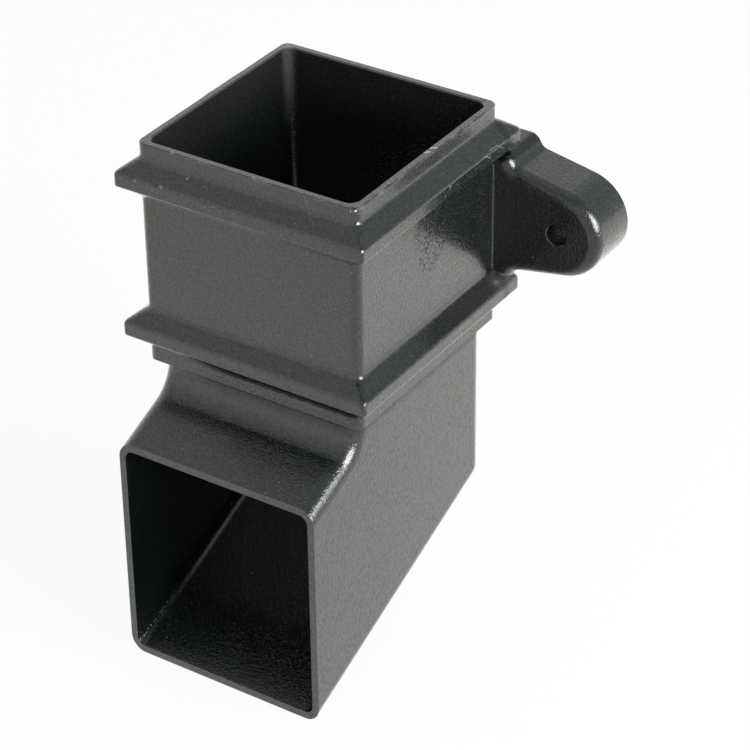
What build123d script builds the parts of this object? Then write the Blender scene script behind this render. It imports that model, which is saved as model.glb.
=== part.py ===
from build123d import *
import os
from math import cos, radians, sin, tan

# Square downpipe offset bend with a fixing ear at each side, moulded in one piece.
# Millimetres. Z runs up the socket's axis and is 0 at its mouth, X runs from ear to
# ear, and +Y points to the wall. The outlet leaves towards -Y, away from the wall.

# Pipe section, which the neck and the outlet share
pipe_width = 65.0
pipe_wall = 2.1
pipe_corner = 4.7

# Outlet: a run that slopes down at the bend angle and is cut off plumb
bend_angle = 22.5
outlet_depth = 66.4      # across the sloping run, square to it
outlet_reach = 54.0      # from the socket's axis to the cut face
outlet_drop = 16.0       # from the socket's foot down to the top of the cut face
bend_front_radius = 9.5
bend_rear_radius = 5.2

# Socket: a square sleeve that the pipe above slides into, down to a stop ledge
socket_bore = 65.7
bore_corner = 2.8
socket_wall = 2.3
socket_corner = 2.6
socket_height = 68.2
rim_chamfer = 0.35
bore_chamfer = 0.4
foot_chamfer = 0.3
foot_splay = 2.2         # slope under the sleeve's foot, as deep as it is high
ledge_thickness = 2.5

# Collars: two like mouldings round the socket, each a slope above an upright band
collar_reach = 4.7
collar_slope = 3.8
collar_band = 4.35
collar_corner = 1.2
collar_hollow = 1.8      # radius where the slope runs into the sleeve
collar_upper_round = 1.4
collar_lower_round = 0.9
collar_splay = 3.7       # slope under the band, as deep as it is high
upper_collar_top = 4.8
skirt_height = 8.45      # plain sleeve left below the lower collar

# Ears: hollow blocks, open at the wall side, each with a tube for the fixing screw
ear_centre = 55.3        # from the socket's axis to the screw
ear_drop = 34.6          # from the socket's mouth down to the screw
ear_radius = 13.3
ear_taper = 10.5         # slope of the upper and lower edges
ear_front = 32.65        # from the socket's axis to the ear's front face
ear_back = 49.2          # from the socket's axis to the wall
ear_wall = 2.5
ear_edge_round = 3.2
ear_rib = 2.0
ear_root_hollow = 0.4    # radius where the front face runs into the socket's side
shoulder_half_height = 19.8
shoulder_reach = 4.1     # how far the shoulder stands out from the sleeve
shoulder_run = 2.2
shoulder_round = 3.2
shoulder_hollow = 3.0
screw_hole = 6.1
screw_tube_wall = 2.3
screw_hole_chamfer = 0.25

# Sizes that follow
socket_half = socket_bore / 2 + socket_wall
collar_half = socket_half + collar_reach
pipe_half = pipe_width / 2
ledge_top = socket_height - ledge_thickness
outlet_top = socket_height + outlet_drop
collar_height = collar_slope + collar_band
lower_collar_top = socket_height - skirt_height - collar_height
bend_cosine = cos(radians(bend_angle))
overrun = pipe_half      # how far a cutting solid runs past the face that it opens


def square_prism(width, corner, top, bottom):
    """Upright square bar with rounded corners, between two depths below the mouth."""
    section = Pos(0, 0, -bottom) * RectangleRounded(width, width, corner)
    return extrude(section, bottom - top)


def level_edges(solid, depth, half_width):
    """Edges of a square outline at one depth below the mouth."""

    def on_outline(edge):
        centre = edge.center()
        reach = max(abs(centre.X), abs(centre.Y))
        at_depth = abs(centre.Z + depth) < 0.01
        return at_depth and half_width - pipe_corner / 3 < reach < half_width + 0.01

    return solid.edges().filter_by(on_outline)


def collar(top):
    """One collar, solid inside: a slope that widens downwards, then an upright band."""
    slope_end = top + collar_slope
    narrow = Pos(0, 0, -top) * RectangleRounded(2 * socket_half, 2 * socket_half, socket_corner)
    wide = Pos(0, 0, -slope_end) * RectangleRounded(2 * collar_half, 2 * collar_half, collar_corner)
    band = square_prism(2 * collar_half, collar_corner, slope_end, top + collar_height)
    return loft([wide, narrow]) + band


def socket_outside():
    """Sleeve and both collars, solid inside, with their edges rounded."""
    body = square_prism(2 * socket_half, socket_corner, 0, socket_height)
    for top in (upper_collar_top, lower_collar_top):
        body += collar(top)
        body = fillet(level_edges(body, top, socket_half), collar_hollow)
        body = fillet(level_edges(body, top + collar_slope, collar_half), collar_upper_round)
        underside = top + collar_height
        body = fillet(level_edges(body, underside, collar_half), collar_lower_round)
        body = chamfer(level_edges(body, underside, socket_half), collar_splay)
    body = chamfer(level_edges(body, socket_height, socket_half), foot_chamfer)
    splay_half = pipe_half + foot_splay
    wide = Pos(0, 0, -socket_height) * RectangleRounded(2 * splay_half, 2 * splay_half, pipe_corner)
    narrow_depth = socket_height + foot_splay
    narrow = Pos(0, 0, -narrow_depth) * RectangleRounded(pipe_width, pipe_width, pipe_corner)
    return body + loft([narrow, wide])


def bend(inset, start, reach):
    """Neck and sloping run as one solid bar, its long faces moved inwards by the inset."""
    half = pipe_half - inset

    def roof(y):
        return (y + outlet_reach) * tan(radians(bend_angle)) - outlet_top - inset / bend_cosine

    def floor(y):
        return roof(y) - (outlet_depth - 2 * inset) / bend_cosine

    front_corner = (-half, roof(-half))
    rear_corner = (half, floor(half))
    side = Polygon(
        (-half, -start),
        front_corner,
        (-reach, roof(-reach)),
        (-reach, floor(-reach)),
        rear_corner,
        (half, -start),
        align=None,
    )
    side = fillet(side.vertices().sort_by_distance(front_corner)[0], bend_front_radius + inset)
    side = fillet(side.vertices().sort_by_distance(rear_corner)[0], bend_rear_radius - inset)
    bar = extrude(Plane.YZ * side, half, both=True)

    def runs_along(edge):
        centre = edge.center()
        at_side = abs(abs(centre.X) - half) < 0.01
        return at_side and centre.Y > 0.01 - reach and centre.Z < -start - 0.01

    return fillet(bar.edges().filter_by(runs_along), pipe_corner - inset)


def ear_outline():
    """Outline of the right ear seen from the front, its upper and lower halves alike."""
    turn = radians(ear_taper)
    tangent_x = ear_centre + ear_radius * sin(turn)
    tangent_half = ear_radius * cos(turn)
    shoulder_x = socket_half + shoulder_reach
    edge_x = shoulder_x + shoulder_run
    edge_half = tangent_half + (tangent_x - edge_x) * tan(turn)
    upper = [
        (socket_bore / 2, shoulder_half_height),
        (shoulder_x, shoulder_half_height),
        (edge_x, edge_half),
        (tangent_x, tangent_half),
    ]
    lower = [(x, -z) for x, z in upper]
    sides = Polyline(*reversed(upper), *lower)
    tip = ThreePointArc(lower[-1], (ear_centre + ear_radius, 0), upper[-1])
    face = make_face([*sides.edges(), tip])
    for corner, radius in ((upper[1], shoulder_round), (upper[2], shoulder_hollow)):
        for sign in (1, -1):
            point = (corner[0], sign * corner[1])
            face = fillet(face.vertices().sort_by_distance(point)[0], radius)
    return face


def upright(face, front, back):
    """A face drawn about the screw's height, run from one distance to another."""
    plane = Plane(origin=(0, front, -ear_drop), x_dir=(1, 0, 0), z_dir=(0, -1, 0))
    return extrude(plane * face, front - back)


def ear():
    """Right ear: an outer shell, a rib across it and a tube round the screw."""
    outline = ear_outline()
    shell = upright(outline, ear_front, ear_back)
    front_edges = shell.edges().filter_by(
        lambda edge: abs(edge.center().Y - ear_front) < 0.01 and edge.center().X > socket_half
    )
    shell = fillet(front_edges, ear_edge_round)
    pocket_front = ear_front + ear_wall
    pocket = upright(offset(outline, -ear_wall), pocket_front, ear_back + overrun)
    screw_tube = Pos(ear_centre, 0) * Circle(screw_hole / 2 + screw_tube_wall)
    tip = ear_centre + ear_radius - ear_wall / 2
    rib = Polygon(
        (socket_half, -ear_rib / 2),
        (tip, -ear_rib / 2),
        (tip, ear_rib / 2),
        (socket_half, ear_rib / 2),
        align=None,
    )
    inside = upright(screw_tube + rib, pocket_front, ear_back)
    solid = (shell - pocket) + inside
    hole = Pos(ear_centre, 0) * Circle(screw_hole / 2)
    solid -= upright(hole, ear_front - overrun, ear_back + overrun)
    hole_edge = solid.edges().filter_by(GeomType.CIRCLE).filter_by(
        lambda edge: abs(edge.center().Y - ear_front) < 0.01 and edge.radius < screw_hole
    )
    return chamfer(hole_edge, screw_hole_chamfer)


def root_strip():
    """Strip with a hollow face, in the corner between the right ear's front and the socket."""
    centre = (socket_half + ear_root_hollow, ear_front - ear_root_hollow)
    square = Pos(socket_half, ear_front) * Rectangle(2 * ear_root_hollow, 2 * ear_root_hollow)
    section = square - Pos(*centre) * Circle(ear_root_hollow)
    half_height = shoulder_half_height - ear_edge_round
    return extrude(Pos(0, 0, -ear_drop) * section, half_height, both=True)


def downpipe_bend():
    """The whole moulding: socket, neck and outlet with their bores, and both ears."""
    right_ear = ear() + root_strip()
    body = socket_outside() + bend(0, ledge_top, outlet_reach)
    body += right_ear + mirror(right_ear, about=Plane.YZ)
    body -= square_prism(socket_bore, bore_corner, -overrun, ledge_top)
    body -= bend(pipe_wall, ledge_top - ledge_thickness, outlet_reach + overrun)
    body = chamfer(level_edges(body, 0, socket_half), rim_chamfer)
    return chamfer(level_edges(body, 0, socket_bore / 2), bore_chamfer)


os.makedirs("parts", exist_ok=True)
export_step(downpipe_bend(), "parts/downpipe_bend.step")
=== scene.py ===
import bpy
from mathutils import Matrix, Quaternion, Vector


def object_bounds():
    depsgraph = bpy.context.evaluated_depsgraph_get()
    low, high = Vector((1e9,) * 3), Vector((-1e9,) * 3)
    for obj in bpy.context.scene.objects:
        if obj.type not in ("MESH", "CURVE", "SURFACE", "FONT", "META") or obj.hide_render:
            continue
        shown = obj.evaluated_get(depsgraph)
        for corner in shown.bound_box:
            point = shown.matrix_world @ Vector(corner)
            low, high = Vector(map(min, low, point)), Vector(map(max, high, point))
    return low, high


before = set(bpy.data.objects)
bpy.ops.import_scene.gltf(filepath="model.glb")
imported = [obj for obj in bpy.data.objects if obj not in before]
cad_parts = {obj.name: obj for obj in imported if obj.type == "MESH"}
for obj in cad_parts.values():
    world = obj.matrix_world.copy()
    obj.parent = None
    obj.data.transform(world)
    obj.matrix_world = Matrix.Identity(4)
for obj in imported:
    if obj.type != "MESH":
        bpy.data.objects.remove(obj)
cad_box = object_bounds()
scene = bpy.context.scene


# The moulding: socket, collars, ears, neck and outlet in one shot of rigid black plastic.
# The mould's face is etched like a fine casting, so the skin is a satin black with a
# small pebble grain that passes for painted iron once it is on the wall.
class Wire:
    """One output in a node tree. Arithmetic on it adds the Math nodes for it."""

    def __init__(self, tree, socket):
        self.tree = tree
        self.socket = socket

    def node(self, kind, values=None, settings=None, output=0):
        """Adds a node: its settings first, then the values or links of its sockets."""
        made = self.tree.nodes.new(kind)
        for name, value in (settings or {}).items():
            setattr(made, name, value)
        for key, value in (values or {}).items():
            socket = made.inputs[key]
            if isinstance(value, Wire):
                self.tree.links.new(value.socket, socket)
            else:
                socket.default_value = value
        return Wire(self.tree, made.outputs[output])

    def math(self, operation, *others):
        """A Math node with this wire as its first term."""
        terms = dict(enumerate((self, *others)))
        return self.node("ShaderNodeMath", terms, {"operation": operation})

    def vector(self, operation, *others, output="Vector"):
        """A Vector Math node with this wire as its first term."""
        terms = dict(enumerate((self, *others)))
        return self.node("ShaderNodeVectorMath", terms, {"operation": operation}, output)

    def __add__(self, other):
        return self.math("ADD", other)

    def __radd__(self, other):
        return self.math("ADD", other)

    def __sub__(self, other):
        return self.math("SUBTRACT", other)

    def __rsub__(self, other):
        # This wire times -1, plus the other term.
        return self.math("MULTIPLY_ADD", -1.0, other)

    def __mul__(self, other):
        return self.math("MULTIPLY", other)

    def __rmul__(self, other):
        return self.math("MULTIPLY", other)

    def axes(self):
        """The three numbers of a vector."""
        split = self.node("ShaderNodeSeparateXYZ", {"Vector": self}).socket.node
        return [Wire(self.tree, axis) for axis in split.outputs]

    def step(self, start, end):
        """Smooth step from 0 at the start value to 1 at the end value."""
        values = {"Value": self, "From Min": start, "From Max": end}
        return self.node("ShaderNodeMapRange", values, {"interpolation_type": "SMOOTHSTEP"})

    def blend(self, low, high):
        """A colour between two others, with this wire as the share of the second."""
        factor, first_colour, second_colour, colour_out = 0, 6, 7, 2
        values = {factor: self, first_colour: low, second_colour: high}
        return self.node("ShaderNodeMix", values, {"data_type": "RGBA"}, colour_out)

    def blend_shaders(self, low, high):
        """A finish between two others, with this wire as the share of the second."""
        return self.node("ShaderNodeMixShader", {0: self, 1: low, 2: high})


def new_material(name):
    """A material with only its output: the material, a wire to build on, its surface."""
    material = bpy.data.materials.new(name)
    material.use_nodes = True
    tree = material.node_tree
    tree.nodes.clear()
    output = tree.nodes.new("ShaderNodeOutputMaterial")
    return material, Wire(tree, None), output.inputs["Surface"]


cast_black, skin, surface = new_material("cast_black")
place = skin.node("ShaderNodeTexCoord", output="Object")


def noise(scale, detail, output=0):
    """Noise over the skin: a finer one has a larger scale."""
    values = {"Vector": place, "Scale": scale, "Detail": detail}
    return skin.node("ShaderNodeTexNoise", values, output=output)


# Pebble grain off the etched mould, and the slower unevenness of its gloss.
pebble = noise(1250.0, 1.0)
fine_pebble = noise(2400.0, 0.0)
haze = noise(45.0, 3.0)

# Light dust that has settled in the grain, one speck in a cell here and there.
dust_cell = {"Vector": place, "Scale": 600.0}
dust_spot = skin.node("ShaderNodeTexVoronoi", dust_cell, output="Distance")
dust_pick = skin.node("ShaderNodeTexVoronoi", dust_cell, output="Color")
dust_chance = skin.node("ShaderNodeSeparateColor", {"Color": dust_pick}, output="Red")
dust = (1 - dust_spot.step(0.06, 0.20)) * dust_chance.step(0.78, 0.98)

# A place on the skin in millimetres from the mouth's centre, shaken up to half a
# millimetre each way so that the marks laid out by it have ragged edges.
millimetres = (1000.0, 1000.0, 1000.0)
ragged = noise(900.0, 1.0, output="Color")
here = place.vector("MULTIPLY_ADD", millimetres, ragged)
here = here.vector("SUBTRACT", (0.5, 0.5, 0.5))


def strongest(first, *others):
    """The highest of several masks at each place."""
    found = first
    for mask in others:
        found = found.math("MAXIMUM", mask)
    return found


def spots(marks):
    """1 within each mark's radius, fading over its outer part."""
    masks = []
    for x, y, z, radius in marks:
        away = here.vector("DISTANCE", (x, y, z), output="Value")
        masks.append(1 - away.step(radius * 0.55, radius))
    return strongest(*masks)


def scratches(lines):
    """1 along each line from one point to another, as wide as it says."""
    masks = []
    for start, end, width in lines:
        run = Vector(end) - Vector(start)
        along = here.vector("SUBTRACT", start)
        share = along.vector("DOT_PRODUCT", run / run.length_squared, output="Value")
        share = share.math("MAXIMUM", 0.0).math("MINIMUM", 1.0)
        scaled_run = {0: tuple(run), "Scale": share}
        nearest = skin.node("ShaderNodeVectorMath", scaled_run, {"operation": "SCALE"})
        away = along.vector("DISTANCE", nearest, output="Value")
        masks.append(1 - away.step(width * 0.3, width * 0.7))
    return strongest(*masks)


# Knocks from handling, most of them on the rim and the collars' corners, and two painted
# highlight dots: x, y, z, radius.
pale_chips_and_glints = spots([
    (33.4, 0.6, 0.0, 0.9),
    (34.4, -18.7, 0.0, 0.6),
    (34.9, -34.4, -0.2, 0.7),
    (3.2, -35.0, 0.0, 0.8),
    (6.0, -35.1, 0.0, 0.5),
    (-23.3, -34.8, 0.0, 0.8),
    (-32.3, -39.8, -9.0, 0.6),
    (-23.9, -39.6, -8.4, 0.6),
    (-17.6, -36.1, -5.5, 0.5),
    (-9.5, -39.9, -10.2, 0.45),
    # These two are painted highlight dots on the bands' right faces, not knocks.
    (39.8, 33.2, -11.9, 0.4),
    (39.9, 2.8, -9.6, 0.4),
    (-9.1, -35.2, -34.9, 0.3),
])
dark_pits = spots([
    (29.9, -34.9, -0.1, 0.75),
    (34.0, 2.4, 0.0, 0.6),
    (34.9, -19.3, -0.1, 0.5),
    (33.6, -34.4, 0.0, 0.8),
    (34.3, 16.9, 0.0, 0.5),
    (34.2, 24.6, 0.0, 0.55),
    (31.5, 33.7, 0.0, 0.6),
    (-25.3, -39.7, -8.6, 0.8),
    (-9.5, -39.9, -11.2, 0.4),
])

# Scores and bright nicks where something hard was drawn over it: start, end, width.
scores = scratches([
    ((19.2, -35.1, -1.0), (20.1, -35.1, -3.2), 0.32),
    ((20.1, -35.1, -3.2), (21.0, -35.7, -5.2), 0.32),
    ((39.4, 23.6, -8.3), (39.6, 27.0, -8.4), 0.3),
    ((39.6, 27.0, -8.4), (39.9, 29.8, -10.7), 0.3),
    ((39.8, 23.5, -10.2), (39.7, 19.0, -8.4), 0.3),
    ((34.6, 3.9, 0.0), (33.3, 1.4, 0.0), 0.3),
])
bright_nicks = scratches([
    ((33.2, -34.9, -0.9), (34.5, -34.2, -0.9), 0.55),
    ((33.6, 3.2, 0.1), (34.6, 4.4, 0.0), 0.5),
    ((33.4, 0.2, 0.1), (34.3, 1.2, 0.0), 0.4),
])

# Faces and edges of the moulding that the wear keeps to, in millimetres from the socket's
# axis and up from its mouth.
bore_half = 32.85
sleeve_half = 35.15
ear_front = 32.65
high_band_foot = -12.95
low_slope_foot = -55.4
low_band_foot = -59.75
sleeve_foot = -68.2
across, back, up = here.axes()
out_from_axis = strongest(across.math("ABSOLUTE"), back.math("ABSOLUTE"))


def belt(edge, bottom, top):
    """1 between a bottom and a top fade, each from one height above the edge to another."""
    above_bottom = up.step(edge + bottom[0], edge + bottom[1])
    above_top = up.step(edge + top[0], edge + top[1])
    return above_bottom * (1 - above_top)


# The rim is scuffed all round its outer edge, where pipes were pushed in and pulled out.
scuffed = noise(210.0, 3.0).step(0.42, 0.62) * 0.75 + 0.25
scuffed = scuffed * out_from_axis.step(sleeve_half - 0.95, sleeve_half - 0.25)
scuffed = scuffed * up.step(-0.8, -0.3)

# Inside the socket: a pale rubbed film near the mouth, and down the far corner a painted
# highlight, a pale streak where the rounded corner catches the light.
inside = 1 - out_from_axis.step(bore_half + 0.55, bore_half + 1.15)
inside = inside * up.step(sleeve_foot - 1.8, sleeve_foot + 2.2)
far_corner = (-32.5, 32.5, 0.0)
level = here.vector("MULTIPLY", (1.0, 1.0, 0.0))
from_corner = level.vector("DISTANCE", far_corner, output="Value")
film_and_painted_light = inside * up.step(-26.0, 0.0) * 0.06
film_and_painted_light = film_and_painted_light + (1 - from_corner.step(0.0, 3.4)) * up.step(-30.0, -3.0) * 0.30

# Painted sheen on the lower collar's slope, under the right ear: a paler tone standing in for
# its reflection.
on_slope = belt(low_slope_foot, (-0.6, 0.2), (3.2, 4.0))
on_slope = on_slope * across.step(sleeve_half - 0.15, sleeve_half + 0.65)
film_and_painted_light = film_and_painted_light + on_slope * (back.step(-12.0, 12.0) * 0.07 + back.step(26.0, 38.0) * 0.22)

# Painted shade that takes the sheen: a dull black mixed in under each band and the foot,
# on the ears' front faces, and deep down in the socket, where shade falls.
under_low = belt(low_band_foot, (-5.15, -4.25), (-0.45, 0.15)) * across.step(-27.0, -6.0)
under_high = belt(high_band_foot, (-4.05, -3.25), (-0.35, 0.15)) * across.step(0.0, 34.0)
under_foot = belt(sleeve_foot, (-5.6, -1.2), (-0.7, 0.0)) * across.step(-27.0, -10.0)
outside = out_from_axis.step(sleeve_half - 0.75, sleeve_half - 0.25)
on_ear = out_from_axis.step(sleeve_half + 0.45, sleeve_half + 1.05)
on_ear = on_ear * back.step(ear_front - 1.65, ear_front - 0.85)
on_ear = on_ear * (1 - back.step(ear_front + 0.95, ear_front + 2.15))
deep_down = inside * (1 - up.step(-42.0, -18.0))
painted_shade_and_wrinkles = (under_low * 0.80 + under_high * 0.35) * outside + under_foot * 0.45
painted_shade_and_wrinkles = painted_shade_and_wrinkles + deep_down * 0.65 + on_ear * 0.25

# The right side has one wrinkled patch, where the skin shrank off the mould; its wrinkles are
# drawn as dark strokes in the same dull black as the painted shade.
wrinkles = (noise(620.0, 1.0) - 0.5).math("ABSOLUTE")
wrinkles = 1 - wrinkles.step(0.01, 0.07)
wrinkled = spots([(35.1, -2.5, -22.0, 6.5), (35.1, 4.0, -26.5, 8.0), (35.1, 0.0, -30.0, 7.5)])
painted_shade_and_wrinkles = painted_shade_and_wrinkles + wrinkles * wrinkled * 0.6

# The finish: a near black with a grey bloom, rougher and duller where it is knocked.
black = (0.0012, 0.0024, 0.0030, 1.0)
greyed = (0.0030, 0.0047, 0.0052, 1.0)
# A lighter grey painted on the grain's tops as painted glints.
painted_glint_grey = (0.023, 0.025, 0.024, 1.0)
dust_grey = (0.14, 0.14, 0.13, 1.0)
bare_and_painted_light_grey = (0.20, 0.20, 0.19, 1.0)
bright_grey = (0.55, 0.55, 0.52, 1.0)
# The dull black of the painted shade.
shade_black = (0.003, 0.0045, 0.0055, 1.0)
wear_and_glints = strongest(pale_chips_and_glints, scores * 0.8, scuffed * 0.5)
colour = haze.step(0.3, 0.7).blend(black, greyed)
# The grain's tops take the painted glint grey.
colour = fine_pebble.step(0.60, 0.76).blend(colour, painted_glint_grey)
colour = (dust * (0.8 - inside * 0.7)).blend(colour, dust_grey)
# Bare grey shows the wear and film, and also paints the far corner's highlight, the slope's
# sheen and the highlight dots.
colour = (wear_and_glints * 0.65 + film_and_painted_light).blend(colour, bare_and_painted_light_grey)
colour = bright_nicks.blend(colour, bright_grey)
grain = pebble * 0.6 + fine_pebble * 0.4
relief = skin.node("ShaderNodeBump", {"Strength": 1.0, "Distance": 0.00020, "Height": grain})
satin_finish = skin.node("ShaderNodeBsdfPrincipled", {
    "Base Color": colour,
    "Roughness": 0.10 + haze * 0.08 + wear_and_glints * 0.3,
    "IOR": 1.5,
    "Coat Weight": 1 - dark_pits * 0.9 - wear_and_glints * 0.3 - pebble.step(0.44, 0.64) * 0.38,
    "Coat Roughness": 0.15,
    "Coat IOR": 1.5,
    "Normal": relief,
})
# The painted shade: the dull black mixed in where the mask says, in place of the sheen.
shade_black_finish = skin.node("ShaderNodeBsdfDiffuse", {"Color": shade_black})
skin.tree.links.new(painted_shade_and_wrinkles.blend_shaders(satin_finish, shade_black_finish).socket, surface)

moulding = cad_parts["downpipe_bend"]
moulding.data.materials.clear()
moulding.data.materials.append(cast_black)

# The floor: a sheet of white paper just under the piece's lowest edge. The camera and
# whatever mirrors it see it white; reflections see a painted glow brighter towards the window.
paper_gap = 0.0004
paper_size = 8.0
bpy.ops.object.select_all(action="DESELECT")
bpy.ops.mesh.primitive_plane_add(size=paper_size, location=(0, 0, cad_box[0].z - paper_gap))
floor = bpy.context.object
floor.name = "paper_floor"
paper, sheet, surface = new_material("white_paper")


def seen_rays(wire):
    """1 for the camera's rays, and 1 for all that show the background, mirrored or clear."""
    path = wire.node("ShaderNodeLightPath").socket.node
    kinds = ("Is Camera Ray", "Is Glossy Ray", "Is Transmission Ray")
    camera_ray, glossy_ray, clear_ray = (Wire(wire.tree, path.outputs[kind]) for kind in kinds)
    return camera_ray, camera_ray + glossy_ray + clear_ray


white = (1.0, 1.0, 1.0, 1.0)
warm_white = (1.0, 1.0, 0.96, 1.0)
# The painted window light that reflections see at the back of the floor.
painted_window_glow = (1.16, 1.16, 1.10, 1.0)
paper_white = (0.93, 0.93, 0.93, 1.0)
glow_share = 0.92
camera_ray, shown_ray = seen_rays(sheet)
sheet_back = sheet.node("ShaderNodeTexCoord", output="Object").axes()[1]
mirrored = sheet_back.step(-0.15, 0.25).blend(warm_white, painted_window_glow)
lit = sheet.node("ShaderNodeBsdfDiffuse", {"Color": paper_white})
glow = sheet.node("ShaderNodeEmission", {"Color": camera_ray.blend(mirrored, white)})
sheet.tree.links.new((shown_ray * glow_share).blend_shaders(lit, glow).socket, surface)
floor.data.materials.append(paper)

# The light: a white room that reflections see dimmer overhead and to the back right,
# with a soft lamp at the right side and a weaker one where the window is.
room_grey = (0.6, 0.6, 0.6, 1.0)
bright_wall = (1.0, 1.0, 0.97, 1.0)
dim_wall = (0.52, 0.565, 0.55, 1.0)
world = bpy.data.worlds.new("white_room")
scene.world = world
world.use_nodes = True
world.node_tree.nodes.clear()
room = Wire(world.node_tree, None)
direction = room.node("ShaderNodeTexCoord", output="Generated")
overhead = direction.vector("DOT_PRODUCT", (0.0, 0.0, 1.0), output="Value")
back_right = direction.vector("DOT_PRODUCT", (0.8, 0.5, 0.3), output="Value")
dim = (overhead.step(0.35, 0.8) * 0.7 + back_right.step(0.1, 1.0)).math("MINIMUM", 1.0)
camera_ray, shown_ray = seen_rays(room)
around = shown_ray.blend(room_grey, dim.blend(bright_wall, dim_wall))
background = room.node("ShaderNodeBackground", {"Color": camera_ray.blend(around, white)})
output = room.tree.nodes.new("ShaderNodeOutputWorld")
room.tree.links.new(background.socket, output.inputs["Surface"])


def soft_lamp(name, size, energy, location):
    """A round soft lamp that points at the socket."""
    lamp = bpy.data.lights.new(name, "AREA")
    lamp.shape = "DISK"
    lamp.size = size
    lamp.energy = energy
    placed = bpy.data.objects.new(name, lamp)
    scene.collection.objects.link(placed)
    placed.location = location
    inside_socket = Vector((0.02, 0.0, -0.05))
    aim = inside_socket - placed.location
    placed.rotation_euler = aim.to_track_quat("-Z", "Y").to_euler()


soft_lamp("side_lamp", size=0.58, energy=10.5, location=(0.86, -0.10, 0.25))
soft_lamp("window", size=0.50, energy=1.6, location=(0.98, 0.34, 0.19))

# The camera: a long lens above the front right corner, turned a little off level. Its
# place was worked out from the moulding's own straight edges.
lens = bpy.data.cameras.new("camera")
lens.sensor_width = 36.0
lens.lens = 140.88
lens.clip_start = 0.05
lens.clip_end = 20.0
camera = bpy.data.objects.new("camera", lens)
scene.collection.objects.link(camera)
camera.location = Vector((0.397613, -0.575256, 0.368653))
looked_at = Vector((0.032185, -0.022966, -0.057379))
line_of_sight = looked_at - camera.location
roll = Quaternion((0, 0, 1), -0.0131947)
camera.rotation_mode = "QUATERNION"
camera.rotation_quaternion = line_of_sight.to_track_quat("-Z", "Y") @ roll
scene.camera = camera
scene.view_settings.view_transform = "Standard"
